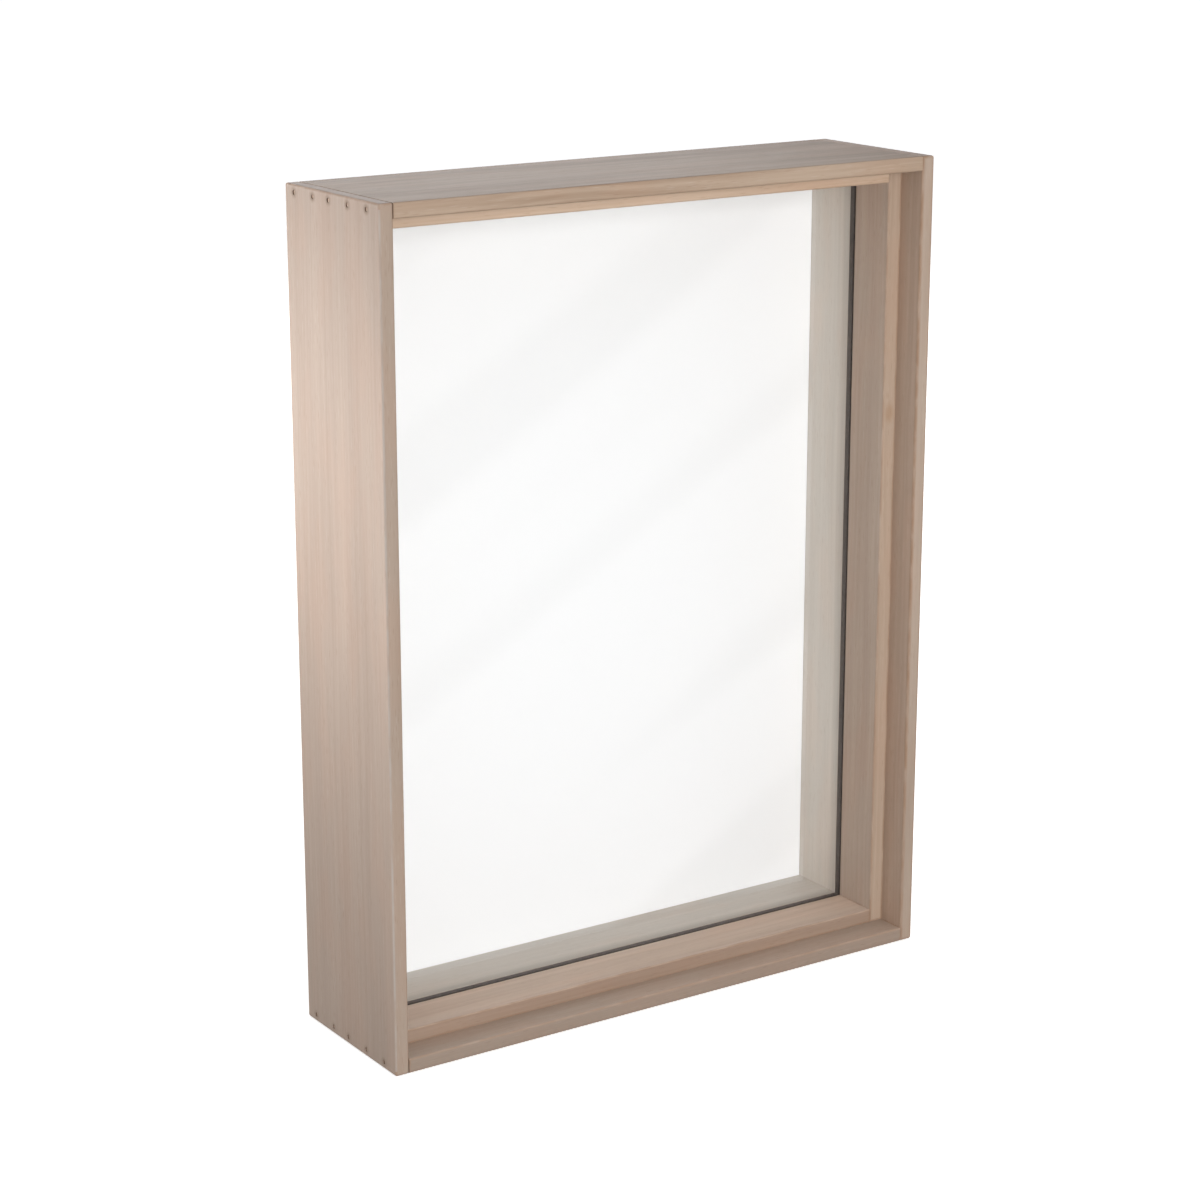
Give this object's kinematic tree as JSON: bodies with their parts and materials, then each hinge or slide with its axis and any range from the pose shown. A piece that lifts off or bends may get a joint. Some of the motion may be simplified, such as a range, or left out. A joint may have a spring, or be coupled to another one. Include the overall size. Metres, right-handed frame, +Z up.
{
  "type": "shadow box",
  "caption": "Deep wooden shadow box with a stepped glass front, a white display board, a removable back panel held by turn buttons, and D-ring hangers.",
  "frame": {"origin": "on the surface it stands on, in the middle of the overall width and depth", "axes": "+X to the right seen from the front, +Y from the glass front to the back panel, +Z up"},
  "size_m": [0.32, 0.0922, 0.421],
  "materials": {
    "side_board_wood": "limed, matte",
    "end_board_wood": "limed, matte",
    "liner_wood": "limed, matte",
    "spacer_wood": "grey-beige wash, matte",
    "gasket_foam": "matte foam",
    "clear_glass": "polished",
    "white_board": "matte white",
    "hardboard": "smooth brown hardboard",
    "nail_steel": "dulled",
    "zinc_plate": "zinc plated",
    "screw_steel": "zinc plated",
    "nickel_plate": "nickel plated",
    "nickel_wire": "nickel plated",
    "rivet_steel": "nickel plated",
    "bumper_rubber": "soft matte"
  },
  "bodies": {
    "case": {"left_side_board": "side_board_wood", "right_side_board": "side_board_wood", "top_board": "end_board_wood", "bottom_board": "end_board_wood", "left_liner": "liner_wood", "left_gasket": "gasket_foam", "left_spacer": "spacer_wood", "right_liner": "liner_wood", "right_gasket": "gasket_foam", "right_spacer": "spacer_wood", "top_liner": "liner_wood", "top_gasket": "gasket_foam", "top_spacer": "spacer_wood", "bottom_liner": "liner_wood", "bottom_gasket": "gasket_foam", "bottom_spacer": "spacer_wood", "glass_pane": "clear_glass", "display_board": "white_board", "back_panel": "hardboard", "nails_top_left": "nail_steel", "nails_top_right": "nail_steel", "nails_bottom_left": "nail_steel", "nails_bottom_right": "nail_steel", "turn_button_screws": "screw_steel", "hanger_plate_left": "nickel_plate", "hanger_plate_right": "nickel_plate", "hanger_rivets": "rivet_steel", "wall_bumpers": "bumper_rubber"},
    "turn_button_left_upper": {"turn_button_left_upper": "zinc_plate"},
    "turn_button_left_lower": {"turn_button_left_lower": "zinc_plate"},
    "turn_button_right_upper": {"turn_button_right_upper": "zinc_plate"},
    "turn_button_right_lower": {"turn_button_right_lower": "zinc_plate"},
    "turn_button_top": {"turn_button_top": "zinc_plate"},
    "turn_button_bottom": {"turn_button_bottom": "zinc_plate"},
    "hanger_ring_left": {"hanger_ring_left": "nickel_wire"},
    "hanger_ring_right": {"hanger_ring_right": "nickel_wire"}
  },
  "joints": [
    {"name": "turn_left_upper", "type": "hinge", "parent": "case", "child": "turn_button_left_upper", "pos_m": [-0.1557, 0.04365, 0.331], "axis": [0, 1, 0], "continuous": true},
    {"name": "turn_left_lower", "type": "hinge", "parent": "case", "child": "turn_button_left_lower", "pos_m": [-0.1557, 0.04365, 0.09], "axis": [0, 1, 0], "continuous": true},
    {"name": "turn_right_upper", "type": "hinge", "parent": "case", "child": "turn_button_right_upper", "pos_m": [0.1557, 0.04365, 0.331], "axis": [0, 1, 0], "continuous": true},
    {"name": "turn_right_lower", "type": "hinge", "parent": "case", "child": "turn_button_right_lower", "pos_m": [0.1557, 0.04365, 0.09], "axis": [0, 1, 0], "continuous": true},
    {"name": "turn_top", "type": "hinge", "parent": "case", "child": "turn_button_top", "pos_m": [0, 0.04365, 0.4167], "axis": [0, 1, 0], "continuous": true},
    {"name": "turn_bottom", "type": "hinge", "parent": "case", "child": "turn_button_bottom", "pos_m": [0, 0.04365, 0.0043], "axis": [0, 1, 0], "continuous": true},
    {"name": "swing_ring_left", "type": "hinge", "parent": "case", "child": "hanger_ring_left", "pos_m": [-0.11, 0.04455, 0.352], "axis": [1, 0, 0], "range_deg": [0, 180]},
    {"name": "swing_ring_right", "type": "hinge", "parent": "case", "child": "hanger_ring_right", "pos_m": [0.11, 0.04455, 0.352], "axis": [1, 0, 0], "range_deg": [0, 180]}
  ]
}
